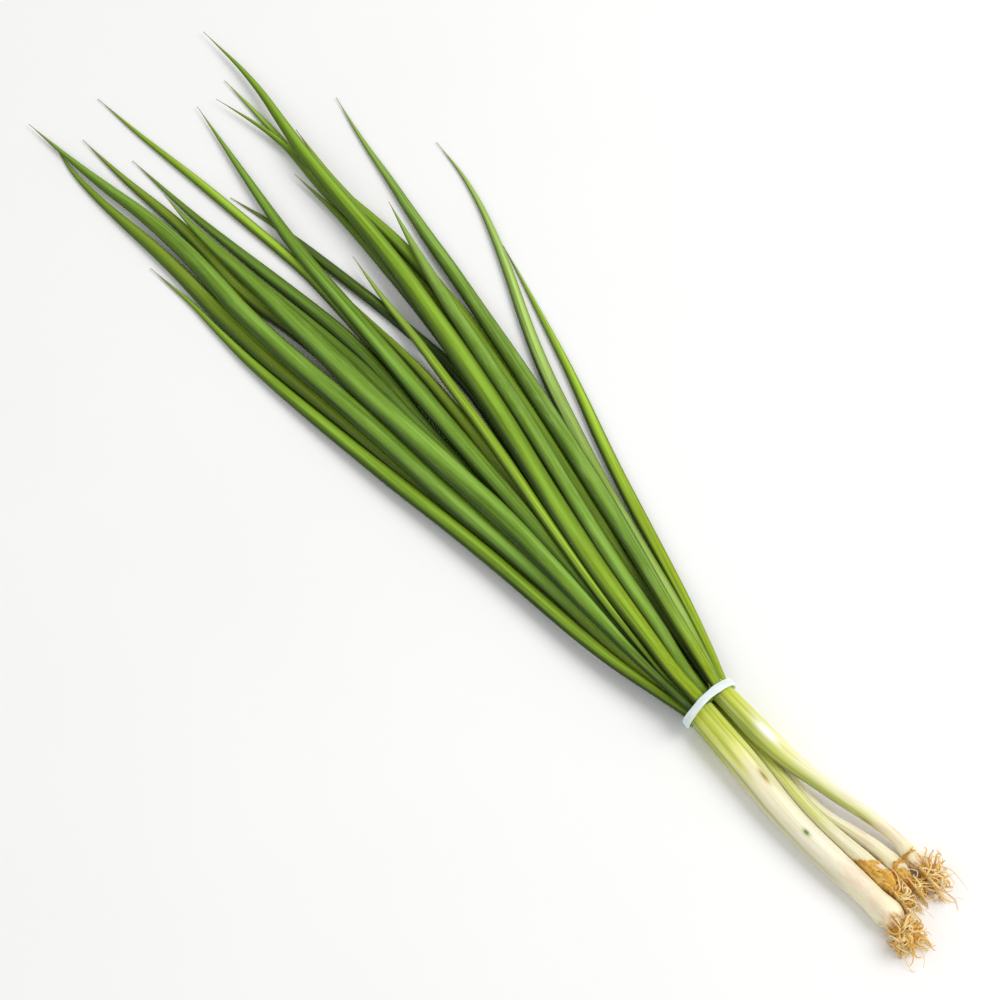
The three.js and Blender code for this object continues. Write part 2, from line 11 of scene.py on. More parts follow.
import bpy
import numpy as np
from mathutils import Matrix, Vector


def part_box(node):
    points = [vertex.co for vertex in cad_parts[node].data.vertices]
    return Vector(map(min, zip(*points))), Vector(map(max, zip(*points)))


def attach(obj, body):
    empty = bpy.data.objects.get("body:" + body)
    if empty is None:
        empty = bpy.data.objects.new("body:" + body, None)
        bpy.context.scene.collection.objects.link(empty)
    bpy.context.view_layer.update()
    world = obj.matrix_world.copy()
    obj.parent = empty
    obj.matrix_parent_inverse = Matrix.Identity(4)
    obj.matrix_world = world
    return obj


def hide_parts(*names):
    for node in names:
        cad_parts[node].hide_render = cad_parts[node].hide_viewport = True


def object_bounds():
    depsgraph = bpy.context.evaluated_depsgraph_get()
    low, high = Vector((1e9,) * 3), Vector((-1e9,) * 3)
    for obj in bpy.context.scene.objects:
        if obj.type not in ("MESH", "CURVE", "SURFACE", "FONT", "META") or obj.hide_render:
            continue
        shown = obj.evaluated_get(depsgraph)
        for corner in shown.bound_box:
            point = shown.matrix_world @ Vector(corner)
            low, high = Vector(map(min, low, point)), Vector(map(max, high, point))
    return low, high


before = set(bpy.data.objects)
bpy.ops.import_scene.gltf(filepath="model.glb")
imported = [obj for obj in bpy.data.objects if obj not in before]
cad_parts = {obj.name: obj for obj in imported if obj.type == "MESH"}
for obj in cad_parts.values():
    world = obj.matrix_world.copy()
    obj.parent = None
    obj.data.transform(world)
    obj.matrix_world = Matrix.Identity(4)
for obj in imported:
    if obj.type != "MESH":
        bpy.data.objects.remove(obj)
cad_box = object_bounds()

MM = 0.001

# ------------------------------------------------------------------ driving dimensions

PLANE_STEP = 0.5 * MM           # vertices closer than this along x belong to one section

LEAF_RING = 1.8 * MM            # spacing of the rings along a leaf
LEAF_SIDES = 28
LEAF_FULLER = 0.08              # a leaf is this share wider than its CAD solid, away from the tie
LEAF_SQUARENESS = 2.08          # exponent of its section: 2 is an ellipse
LEAF_BACK = 0.5 * MM            # how far a leaf reaches back under the band
LEAF_TWIST = 0.10               # radians to either side
LEAF_PLAY = 0.03                # share by which its width wanders
TIP_RADIUS = 0.10 * MM

SHAFT_RING = 0.8 * MM
SHAFT_SIDES = 56
# Past the band a shaft closes between its leaves: mm forward, and share of its width.
SHAFT_CLOSING = ((0.9, 0.98), (2.2, 0.88), (3.6, 0.66), (5.0, 0.34))

BAND_SIDES = 20
BAND_POINTS = 160
BAND_FACINGS = 720              # directions in which the hull of the CAD loop is felt for
BAND_THICKNESS = 1.0 * MM
BAND_HALF_WIDTH = 1.22 * MM
BAND_SQUARENESS = 3.4           # exponent of its section
BAND_BOW = 0.8 * MM             # how far its top bows towards the tips
BAND_SET_BACK = 0.15 * MM

ROOT_SIDES = 6
SHRED_RINGS = 48
SHRED_SIDES = 20
SHRED_EASING = 6                # rounds of smoothing along a shred
ROOT_STEPS = 22

NOMINAL_RADIUS = 3.0            # mm, round which the surface patterns are wound

VIEW_AZIMUTH = -127.3
VIEW_ELEVATION = 65
VIEW_DISTANCE = 0.8333
VIEW_LENS = 100
VIEW_SENSOR = 36
LOOK_ASIDE = (-5.6 * MM, 10.1 * MM)     # of the point looked at from the middle of the bunch

FLOOR_REACH = 1.5
FLOOR_TONES = (0.955, 0.97)
SKY_STRENGTH = 0.58
# Each light: its direction as seen by the camera (back, right, up), its distance and size in
# metres, its power in watts and its colour.
LIGHTS = {
    "key": ((0.72, 0.72, 0.40), 1.2, 0.85, 8.6, (1.0, 0.99, 0.96)),
    "fill": ((0.8, -0.9, 0.2), 1.4, 0.9, 1.6, (0.97, 0.99, 1.0)),
}

TIE_X = sum(corner.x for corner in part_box("rubber_band")) / 2
BUNCH_MIDDLE = (cad_box[0] + cad_box[1]) / 2


# ------------------------------------------------------------------ small helpers

def srgb(red, green, blue):
    """A linear colour from 8-bit sRGB values."""
    def linear(value):
        value /= 255
        return value / 12.92 if value <= 0.04045 else ((value + 0.055) / 1.055) ** 2.4
    return (linear(red), linear(green), linear(blue), 1.0)


def brightness(colour):
    """The luminance of a linear colour."""
    return 0.2126 * colour[0] + 0.7152 * colour[1] + 0.0722 * colour[2]


def smoothstep(start, end, x):
    t = np.clip((x - start) / (end - start), 0, 1)
    return t * t * (3 - 2 * t)


def bell(x, middle, width):
    return np.exp(-((x - middle) / width) ** 2)


def through(stations, values, x):
    """A smooth curve through stations: cubic between them."""
    slopes = np.gradient(values, stations)
    i = np.clip(np.searchsorted(stations, x) - 1, 0, len(stations) - 2)
    span = stations[i + 1] - stations[i]
    t = np.clip((x - stations[i]) / span, 0, 1)
    start, end = values[i], values[i + 1]
    return ((2 * t**3 - 3 * t**2 + 1) * start + (t**3 - 2 * t**2 + t) * span * slopes[i]
            + (3 * t**2 - 2 * t**3) * end + (t**3 - t**2) * span * slopes[i + 1])


def sections_of(node):
    """Rows of x, y, z, half width and half height, one for each section of a CAD strand."""
    points = np.array([v.co[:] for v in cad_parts[node].data.vertices])
    points = points[points[:, 0].argsort()]
    breaks = np.nonzero(np.diff(points[:, 0]) > PLANE_STEP)[0] + 1
    rows = []
    for ring in np.split(points, breaks):
        low, high = ring.min(0), ring.max(0)
        middle, half = (low + high) / 2, (high - low) / 2
        rows.append([middle[0], middle[1], middle[2], half[1], half[2]])
    return np.array(rows).T


def make_mesh(name, points, faces, attributes, material):
    """A smooth mesh object. attributes maps a name to one number or one vector per point."""
    mesh = bpy.data.meshes.new(name)
    mesh.from_pydata([tuple(p) for p in points], [], faces)
    mesh.update()
    for key, values in attributes.items():
        values = np.asarray(values, dtype=np.float32)
        kind = "FLOAT_VECTOR" if values.ndim == 2 else "FLOAT"
        layer = mesh.attributes.new(key, kind, "POINT")
        layer.data.foreach_set("vector" if values.ndim == 2 else "value", values.ravel())
    mesh.shade_smooth()
    mesh.materials.append(material)
    piece = bpy.data.objects.new(name, mesh)
    bpy.context.scene.collection.objects.link(piece)
    return piece


def loft(rings):
    """Points and faces of a closed surface through rings, an array (rings, sides, 3)."""
    count, sides, _ = rings.shape
    points = np.vstack([rings.reshape(-1, 3), rings[0].mean(0), rings[-1].mean(0)])
    start, end = count * sides, count * sides + 1
    faces = []
    for i in range(count - 1):
        for j in range(sides):
            k = (j + 1) % sides
            near, far = i * sides, (i + 1) * sides
            faces.append((near + j, near + k, far + k, far + j))
    for j in range(sides):
        k = (j + 1) % sides
        faces.append((start, k, j))
        faces.append((end, end - 1 - sides + j, end - 1 - sides + k))
    return points, faces


def with_ends(values):
    """Per-point values of a loft, the two closing points taking the mean of their ring."""
    flat = values.reshape(-1, *values.shape[2:])
    return np.concatenate([flat, values[:1].mean(1), values[-1:].mean(1)])


def place_round(theta, along):
    """Where the surface patterns find a point: wound round a nominal radius, in mm."""
    turn, run = np.broadcast_arrays(theta[None, :], along[:, None] / MM)
    return np.stack([NOMINAL_RADIUS * np.cos(turn), NOMINAL_RADIUS * np.sin(turn), run], -1)


def finish_piece(piece, slot, *nodes):
    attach(piece, "root")
    if nodes:
        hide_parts(*nodes)


# ------------------------------------------------------------------ node trees

def node(tree, kind, inputs=(), **settings):
    """Adds a node. Each input is a socket to link or a value to set."""
    made = tree.nodes.new(kind)
    for key, value in settings.items():
        setattr(made, key, value)
    for key, value in dict(inputs).items():
        if isinstance(value, bpy.types.NodeSocket):
            tree.links.new(value, made.inputs[key])
        else:
            made.inputs[key].default_value = value
    return made


def new_material(name, **constants):
    """A material with a Principled shader, its tree and its shader."""
    material = bpy.data.materials.new(name)
    material.use_nodes = True
    tree = material.node_tree
    tree.nodes.clear()
    shader = tree.nodes.new("ShaderNodeBsdfPrincipled")
    output = tree.nodes.new("ShaderNodeOutputMaterial")
    tree.links.new(shader.outputs["BSDF"], output.inputs["Surface"])
    for key, value in constants.items():
        shader.inputs[key.replace("_", " ")].default_value = value
    return material, tree, shader


def attribute(tree, name, output="Fac"):
    return node(tree, "ShaderNodeAttribute", attribute_name=name).outputs[output]


def math_node(tree, operation, a, b=0.0, c=0.0):
    return node(tree, "ShaderNodeMath", {0: a, 1: b, 2: c}, operation=operation).outputs[0]


def spread(tree, value, low, high, start=0.0, end=1.0):
    """Maps low..high to start..end, smoothly and clamped."""
    inputs = {"Value": value, "From Min": low, "From Max": high, "To Min": start, "To Max": end}
    return node(tree, "ShaderNodeMapRange", inputs, interpolation_type="SMOOTHSTEP").outputs[0]


def mix(tree, factor, a, b, blend="MIX"):
    made = node(tree, "ShaderNodeMix", {0: factor, 6: a, 7: b}, data_type="RGBA", blend_type=blend)
    return made.outputs[2]


def streaks(tree, place, across, along, detail=2.0, shift=0.0):
    """Noise drawn out along a strand: its grains are across by along, in mm."""
    scale = (1 / across, 1 / across, 1 / along)
    moved = node(tree, "ShaderNodeVectorMath", {0: place, 1: (shift, shift, shift)}, operation="ADD")
    drawn = node(tree, "ShaderNodeVectorMath", {0: moved.outputs[0], 1: scale}, operation="MULTIPLY")
    inputs = {"Vector": drawn.outputs[0], "Scale": 1.0, "Detail": detail, "Roughness": 0.55}
    return node(tree, "ShaderNodeTexNoise", inputs).outputs["Fac"]


def ramp(tree, factor, stops):
    """A colour ramp with stops (position, colour)."""
    made = node(tree, "ShaderNodeValToRGB", {"Fac": factor})
    elements = made.color_ramp.elements
    elements[0].position, elements[0].color = stops[0]
    elements[1].position, elements[1].color = stops[-1]
    for position, color in stops[1:-1]:
        elements.new(position).color = color
    return made.outputs["Color"]


def bump(tree, shader, height, distance, strength=1.0):
    inputs = {"Height": height, "Distance": distance, "Strength": strength}
    made = node(tree, "ShaderNodeBump", inputs)
    tree.links.new(made.outputs["Normal"], shader.inputs["Normal"])


# ------------------------------------------------------------------ leaves

# The greens that the leaves are made of; the two darkest are painted shade, one for leaves lying under
# others and one for the shaded flanks.
LIME = srgb(160, 184, 4)
FRESH = srgb(131, 163, 24)
GREEN = srgb(106, 140, 6)
# Painted shade: the dark green of leaves lying under others.
DEEP = srgb(70, 101, 2)
PAINTED_SHADE_GREEN = srgb(32, 60, 0)
# Painted shade: the dark green of the shaded flanks.
PAINTED_FLANK_GREEN = srgb(22, 48, 0)
OLIVE = srgb(98, 121, 0)
COOL = srgb(98, 136, 26)
WAXY = srgb(150, 180, 84)
PALE_TIP = srgb(140, 150, 66)
DRY_TIP = srgb(148, 134, 70)
BLOOM = srgb(160, 192, 106)

# For each leaf: the colour at the tie, along the blade and before the tip, how far in mm the
# colour of the tie reaches, how much waxy bloom it has, and the crease on top: its place from
# -1 to 1 across, and its depth as a share of the thickness, negative for a ridge. The darkest green at
# the tie or along the blade is painted shade, where the leaf lies under others.
LEAF_LOOKS = {
    "onion_1_leaf_1": (OLIVE, GREEN, FRESH, 90, 0.25, (0.25, 0.10)),
    "onion_1_leaf_2": (OLIVE, OLIVE, GREEN, 60, 0.10, (-0.2, 0.12)),
    "onion_1_leaf_3": (LIME, COOL, COOL, 60, 0.45, (-0.35, -0.10)),
    "onion_2_leaf_1": (PAINTED_SHADE_GREEN, COOL, GREEN, 40, 0.40, (0.20, 0.10)),
    "onion_2_leaf_2": (OLIVE, OLIVE, OLIVE, 40, 0.15, (0.0, 0.12)),
    "onion_2_leaf_3": (DEEP, DEEP, FRESH, 60, 0.10, (0.3, 0.10)),
    "onion_2_leaf_4": (PAINTED_SHADE_GREEN, DEEP, GREEN, 110, 0.15, (-0.2, 0.10)),
    "onion_1_leaf_4": (DEEP, FRESH, WAXY, 50, 0.35, (0.1, 0.08)),
    "onion_1_leaf_5": (DEEP, COOL, GREEN, 130, 0.30, (-0.3, 0.12)),
    "onion_2_leaf_5": (OLIVE, OLIVE, GREEN, 60, 0.10, (0.2, 0.10)),
    "onion_3_leaf_1": (GREEN, FRESH, FRESH, 60, 0.30, (0.0, 0.10)),
    "onion_1_leaf_6": (LIME, GREEN, GREEN, 74, 0.15, (0.30, -0.10)),
    "onion_3_leaf_2": (PAINTED_SHADE_GREEN, PAINTED_SHADE_GREEN, OLIVE, 90, 0.05, (0.1, 0.10)),
    "onion_3_leaf_3": (PAINTED_SHADE_GREEN, DEEP, FRESH, 110, 0.15, (-0.1, 0.10)),
    "onion_3_leaf_4": (DEEP, FRESH, WAXY, 90, 0.20, (0.0, 0.10)),
    "onion_4_leaf_1": (GREEN, COOL, WAXY, 40, 0.60, (-0.2, 0.08)),
    "onion_3_leaf_5": (OLIVE, GREEN, GREEN, 60, 0.10, (0.2, 0.08)),
    "onion_4_leaf_2": (GREEN, FRESH, FRESH, 60, 0.15, (0.1, 0.10)),
    "onion_4_leaf_3": (PAINTED_SHADE_GREEN, GREEN, GREEN, 140, 0.15, (-0.1, 0.10)),
    "onion_4_leaf_4": (DEEP, FRESH, FRESH, 110, 0.20, (0.2, 0.08)),
    "onion_4_leaf_5": (LIME, COOL, WAXY, 50, 0.85, (-0.3, 0.08)),
    "onion_4_leaf_6": (FRESH, WAXY, WAXY, 35, 0.90, (0.2, 0.08)),
    "onion_4_leaf_7": (LIME, FRESH, WAXY, 100, 0.20, (0.0, 0.10)),
}


def leaf_material(name, look, length, shift):
    """A leaf's skin: colours along it, long streaks, fine veins and a waxy bloom on top, with a
    painted highlight along its crown and painted shade down its flanks and along its creases.
    """
    at_tie, blade, before_tip, reach, waxiness, _ = look
    material, tree, shader = new_material(
        name, Specular_IOR_Level=0.26, Subsurface_Weight=0.06, Subsurface_Scale=0.8 * MM,
        Subsurface_Radius=(0.5, 1.0, 0.10))
    place = attribute(tree, "place", "Vector")
    run = attribute(tree, "run")
    patch = streaks(tree, place, 2.2, 34, shift=shift)
    uneven = math_node(tree, "MULTIPLY_ADD", patch, 0.16, -0.08)
    position = math_node(tree, "ADD", run, uneven)
    tie_end = min(reach * MM / length, 0.6)
    colour = ramp(tree, position, [
        (0.0, at_tie), (0.4 * tie_end, at_tie), (tie_end, blade), (0.72, blade),
        (0.93, before_tip), (1.0, PALE_TIP)])
    dark = tuple(0.50 * c for c in blade[:3]) + (1.0,)
    stripe = spread(tree, streaks(tree, place, 1.1, 60, 3.0, shift + 7), 0.42, 0.62)
    colour = mix(tree, math_node(tree, "MULTIPLY", stripe, 0.42), colour, dark)
    warm = spread(tree, streaks(tree, place, 2.6, 26, 2.0, shift + 19), 0.50, 0.72, 0.0, 0.45)
    colour = mix(tree, warm, colour, srgb(134, 162, 14))
    vein = spread(tree, streaks(tree, place, 0.30, 30, 1.0, shift + 31), 0.40, 0.62)
    colour = mix(tree, math_node(tree, "MULTIPLY", vein, 0.20), colour, srgb(160, 188, 60))
    mottle = spread(tree, streaks(tree, place, 0.8, 2.6, 4.0, shift + 91), 0.42, 0.66, 0.0, 0.22)
    colour = mix(tree, mottle, colour, dark)
    cloud = streaks(tree, place, 1.7, 9, 4.0, shift + 43)
    film = spread(tree, cloud, 0.46, 0.72, 0.0, waxiness)
    film = math_node(tree, "MULTIPLY", film, attribute(tree, "upper"))
    colour = mix(tree, math_node(tree, "MULTIPLY", film, 0.50), colour, BLOOM)
    # Painted highlight along the crown: a lighter green, whiter on waxy leaves, in uneven streaks.
    highlight_bloom_share = 0.4 * waxiness
    highlight_colour = tuple((1 - highlight_bloom_share) * (1.85 * c + 0.030) + highlight_bloom_share * 1.1 * b for c, b in zip(blade, BLOOM))
    highlight_strength = spread(tree, streaks(tree, place, 1.5, 46, 3.0, shift + 83), 0.34, 0.62, 0.25, 1.00)
    # Where a leaf is darker at the tie than along its blade, the painted highlight on its crown is
    # dimmed there too.
    highlight_dimming = min(brightness(at_tie) / brightness(blade), 1.0)
    highlight_near_tie = spread(tree, position, 0.4 * tie_end, tie_end, highlight_dimming, 1.0)
    highlight_strength = math_node(tree, "MULTIPLY", highlight_strength, highlight_near_tie)
    colour = mix(tree, math_node(tree, "MULTIPLY", highlight_strength, attribute(tree, "painted_highlight")), colour, highlight_colour)
    # Painted shade along the crease lines on top.
    crease_shade = spread(tree, streaks(tree, place, 1.2, 60, 2.0, shift + 97), 0.36, 0.62, 0.10, 0.75)
    colour = mix(tree, math_node(tree, "MULTIPLY", crease_shade, attribute(tree, "crease_shade")), colour, dark)
    # Painted shade down the flanks and underneath, uneven along the leaf.
    painted_flank_shade = attribute(tree, "painted_flank_shade")
    uneven_flank_shade = spread(tree, streaks(tree, place, 1.4, 40, 2.0, shift + 71), 0.30, 0.70, 0.7, 1.0)
    painted_flank_shade = math_node(tree, "MULTIPLY", painted_flank_shade, uneven_flank_shade)
    colour = mix(tree, painted_flank_shade, colour, PAINTED_FLANK_GREEN)
    # Pale specks, partly painted glints.
    speck_and_glint = spread(tree, streaks(tree, place, 0.35, 0.7, 1.0, shift + 57), 0.74, 0.80, 0.0, 0.5)
    colour = mix(tree, speck_and_glint, colour, srgb(196, 206, 120))
    dryness = spread(tree, run, 0.965, 0.995, 0.0, 0.8)
    colour = mix(tree, dryness, colour, DRY_TIP)
    tree.links.new(colour, shader.inputs["Base Color"])
    rough = spread(tree, film, 0.0, 0.6, 0.36, 0.55)
    tree.links.new(rough, shader.inputs["Roughness"])
    ribs = streaks(tree, place, 0.42, 40, 1.0, shift + 3)
    dents = streaks(tree, place, 1.6, 7, 3.0, shift + 11)
    height = math_node(tree, "ADD", ribs, math_node(tree, "MULTIPLY", dents, 1.4))
    bump(tree, shader, height, 0.12 * MM, 0.55)
    return material


def make_leaf(index, name, look):
    draw = random.Random(100 + index)
    stations, *columns = sections_of(name)
    length = stations[-1] - stations[0]
    count = int(length / LEAF_RING)
    # The rings stand closer together towards the tip.
    t = np.linspace(0, 1, count)
    along = length * (1 - (1 - t) ** 1.15)
    x = stations[0] + along
    y, z, half, tall = (through(stations, column, x) for column in columns)
    opening = smoothstep(6 * MM, 40 * MM, along)
    waves = sum(
        math.pow(0.6, k) * np.sin(along / (wave * MM) + draw.uniform(0, 2 * math.pi))
        for k, wave in enumerate((17, 9, 5)))
    half = half * (1 + opening * (LEAF_FULLER + LEAF_PLAY * waves))
    tall = tall * (1 - opening * 0.5 * LEAF_PLAY * waves)
    half = np.maximum(half, TIP_RADIUS)
    tall = np.maximum(tall, TIP_RADIUS)
    low = tall - z
    z = np.where(low > 0, z + low, z)
    x[0] -= LEAF_BACK
    theta = np.linspace(0, 2 * math.pi, LEAF_SIDES, endpoint=False)
    power = 2 / LEAF_SQUARENESS
    u = np.sign(np.cos(theta)) * np.abs(np.cos(theta)) ** power
    v = np.sign(np.sin(theta)) * np.abs(np.sin(theta)) ** power
    crease_at, crease_depth = look[5]
    drift = 0.12 * np.sin(along / (38 * MM) + draw.uniform(0, 6))
    depth = crease_depth * opening * (1 - smoothstep(0.8, 1.0, t))
    middle = (crease_at + drift)[:, None]
    crease = depth[:, None] * (bell(u[None, :], middle, 0.20) - 0.35 * bell(u[None, :], middle, 0.55))
    lift = v[None, :] * (1 - np.where(v > 0, 1.0, 0.6)[None, :] * crease)
    twist = LEAF_TWIST * opening * np.sin(along / (55 * MM) + draw.uniform(0, 6))
    turn_y, turn_z = np.cos(twist)[:, None], np.sin(twist)[:, None]
    wide, high = u[None, :] * half[:, None], lift * tall[:, None]
    rings = np.stack([
        np.broadcast_to(x[:, None], wide.shape),
        y[:, None] + wide * turn_y - high * turn_z,
        np.maximum(z[:, None] + wide * turn_z + high * turn_y, 0.02 * MM),
    ], -1)
    points, faces = loft(rings)
    shape = wide.shape
    # Painted shade: the skin darkens down the flanks, soonest on the one towards +Y, and underneath.
    painted_flank_shade = 0.97 * smoothstep(0.18, 0.86, np.cos(theta))
    painted_flank_shade = painted_flank_shade + 0.65 * smoothstep(0.60, 1.0, -np.cos(theta))
    painted_flank_shade = np.maximum(painted_flank_shade, 0.95 * smoothstep(0.0, 0.5, -np.sin(theta)))
    # Painted highlight: a band on the upper side round a slowly wandering angle, from a few mm past
    # the tie.
    highlight_centre = 1.75 + 0.30 * np.sin(along / (47 * MM) + draw.uniform(0, 6))
    # Painted shade along the crease and a line beside it, on the upper side, fading before the tip.
    crease_shade = bell(u[None, :], middle, 0.07) + 0.6 * bell(u[None, :], middle + 0.42, 0.05)
    crease_shade = crease_shade * (opening * (1 - smoothstep(0.75, 0.95, t)))[:, None] * (v[None, :] > 0)
    away = theta[None, :] - highlight_centre[:, None]
    painted_highlight = bell(away, 0.0, 0.52) * smoothstep(4 * MM, 30 * MM, along)[:, None]
    attributes = {
        "place": with_ends(place_round(theta, along)),
        "run": with_ends(np.broadcast_to((along / length)[:, None], shape)),
        "upper": with_ends(np.broadcast_to(smoothstep(-0.3, 0.6, np.sin(theta))[None, :], shape)),
        "painted_flank_shade": with_ends(painted_flank_shade[None, :] * (1 - 0.45 * smoothstep(0.45, 0.95, t))[:, None]),
        "crease_shade": with_ends(np.clip(crease_shade, 0, 1)),
        "painted_highlight": with_ends(painted_highlight),
    }
    material = leaf_material("skin_of_" + name, look, length, draw.uniform(0, 200))
    piece = make_mesh(name + "_blade", points, faces, attributes, material)
    finish_piece(piece, "leaf", name)


for index, (name, look) in enumerate(LEAF_LOOKS.items()):
    make_leaf(index, name, look)


# ------------------------------------------------------------------ shafts

CREAM = srgb(249, 241, 206)
IVORY = srgb(250, 244, 224)
PEACH = srgb(234, 208, 184)
STRAW = srgb(242, 241, 150)
SHAFT_LIME = srgb(198, 212, 52)
OCHRE = srgb(188, 132, 40)

# The tints that run along a shaft; the grey-olive one is painted shade.
TINTS = {
    "lime": srgb(200, 213, 62),
    "olive": srgb(104, 128, 14),
    "grey_painted_shade": srgb(186, 188, 140),
    "jade": srgb(122, 150, 70),
}

# For each shaft: grooves between its sheaths, as (angle, depth share, how far back from the
# tie in mm), with angle 0 to +Y and 90 up; and stripes along it, as (tint, angle, width in
# degrees, from, to in mm behind the tie, strength).
SHAFT_LOOKS = {
    "onion_1_shaft": {
        "green_reach": 18,
        "grooves": [(62, 0.10, 30), (97, 0.12, 20), (128, 0.08, 40), (20, 0.08, 60), (250, 0.08, 40)],
        "stripes": [
            ("grey_painted_shade", 4, 38, 20, 72, 0.85),
            ("olive", 2, 22, -6, 30, 0.85),
            ("lime", 62, 9, 0, 30, 0.8),
            ("lime", 97, 7, 0, 24, 0.7),
            ("olive", 99, 3, 0, 14, 0.6),
            ("lime", 130, 11, 0, 36, 0.7),
            ("grey_painted_shade", 150, 16, 20, 60, 0.4),
        ],
    },
    "onion_2_shaft": {
        "green_reach": 30,
        "grooves": [(80, 0.08, 45), (130, 0.08, 60), (30, 0.08, 30), (250, 0.08, 40)],
        "stripes": [
            ("lime", 84, 60, -6, 56, 0.95),
            ("olive", 90, 80, -6, 16, 0.7),
            ("lime", 115, 9, 36, 68, 0.6),
            ("grey_painted_shade", 50, 14, 44, 70, 0.5),
        ],
    },
    "onion_3_shaft": {
        "green_reach": 30,
        "grooves": [(95, 0.08, 30), (140, 0.08, 50), (30, 0.08, 60), (260, 0.08, 40)],
        "stripes": [
            ("olive", 90, 70, -6, 24, 0.7),
            ("lime", 66, 14, 30, 66, 0.75),
            ("lime", 120, 10, 30, 60, 0.45),
        ],
    },
    "onion_4_shaft": {
        "green_reach": 24,
        "grooves": [(64, 0.12, 28), (40, 0.06, 60), (110, 0.08, 40), (150, 0.08, 40), (270, 0.08, 40)],
        "stripes": [
            ("lime", 50, 44, 8, 64, 0.95),
            ("olive", 6, 32, 16, 66, 0.95),
            ("jade", 26, 32, -6, 26, 0.95),
            ("olive", 64, 5, -4, 24, 0.85),
            ("lime", 96, 16, -4, 16, 0.7),
        ],
    },
}

# Marks on the shafts: node, angle, mm behind the tie, width in degrees, length in mm, kind.
SHAFT_MARKS = [
    ("onion_1_shaft", 86, 47, 8, 1.1, "spot"),
    ("onion_1_shaft", 106, 27, 8, 2.6, "scar"),
    ("onion_4_shaft", 24, 54, 12, 2.2, "scar"),
    ("onion_4_shaft", 103, 17.5, 22, 4.6, "film"),
]


def shaft_material(name, look, length, shift):
    """Layered sheaths: lime at the neck, fading to cream, with fine lengthwise fibres and grey-olive
    painted shade in stripes.
    """
    material, tree, shader = new_material(
        name, Specular_IOR_Level=0.5, Subsurface_Weight=0.30, Subsurface_Scale=1.6 * MM,
        Subsurface_Radius=(1.0, 0.85, 0.45), Coat_Weight=0.12, Coat_Roughness=0.25)
    place = attribute(tree, "place", "Vector")
    behind = node(tree, "ShaderNodeSeparateXYZ", {0: place}).outputs["Z"]
    wander = streaks(tree, place, 1.2, 22, 3.0, shift)
    uneven = math_node(tree, "MULTIPLY_ADD", wander, 26.0, -13.0)
    position = spread(tree, math_node(tree, "ADD", behind, uneven), 0.0, length / MM)
    reach = look["green_reach"] * MM / length
    colour = ramp(tree, position, [
        (0.0, SHAFT_LIME), (0.45 * reach, STRAW), (reach, CREAM), (0.72, IVORY), (1.0, CREAM)])
    # Tints laid along the stripes; the grey-olive one is painted shade.
    for step, (tint, tone) in enumerate(TINTS.items()):
        grain = streaks(tree, place, 0.9, 30, 3.0, shift + 5 + 11 * step)
        patchy = spread(tree, grain, 0.30, 0.60, 0.50, 1.0)
        colour = mix(tree, math_node(tree, "MULTIPLY", attribute(tree, tint), patchy), colour, tone)
    fibre = spread(tree, streaks(tree, place, 0.34, 40, 2.0, shift + 9), 0.40, 0.66)
    colour = mix(tree, math_node(tree, "MULTIPLY", fibre, 0.20), colour, srgb(200, 196, 130))
    shade = spread(tree, streaks(tree, place, 1.3, 18, 3.0, shift + 15), 0.48, 0.70, 0.0, 0.30)
    colour = mix(tree, shade, colour, srgb(214, 212, 160))
    colour = mix(tree, attribute(tree, "groove"), colour, srgb(164, 174, 44))
    blush = spread(tree, streaks(tree, place, 2.4, 10, 2.0, shift + 25), 0.46, 0.66)
    blush = math_node(tree, "MULTIPLY", blush, attribute(tree, "foot"))
    colour = mix(tree, math_node(tree, "MULTIPLY", blush, 0.75), colour, PEACH)
    stain = spread(tree, streaks(tree, place, 0.9, 2.2, 4.0, shift + 35), 0.38, 0.62, 0.3, 1.0)
    stain = math_node(tree, "MULTIPLY", stain, attribute(tree, "stain"))
    colour = mix(tree, stain, colour, OCHRE)
    colour = mix(tree, attribute(tree, "film"), colour, srgb(255, 252, 244))
    colour = mix(tree, attribute(tree, "scar"), colour, srgb(168, 152, 46))
    colour = mix(tree, attribute(tree, "spot"), colour, srgb(92, 128, 22))
    tree.links.new(colour, shader.inputs["Base Color"])
    rough = spread(tree, shade, 0.0, 0.30, 0.34, 0.48)
    tree.links.new(rough, shader.inputs["Roughness"])
    ribs = streaks(tree, place, 0.36, 45, 2.0, shift + 3)
    wrinkles = streaks(tree, place, 0.8, 6, 3.0, shift + 51)
    height = math_node(tree, "ADD", ribs, math_node(tree, "MULTIPLY", wrinkles, 0.5))
    bump(tree, shader, height, 0.14 * MM, 0.55)
    return material


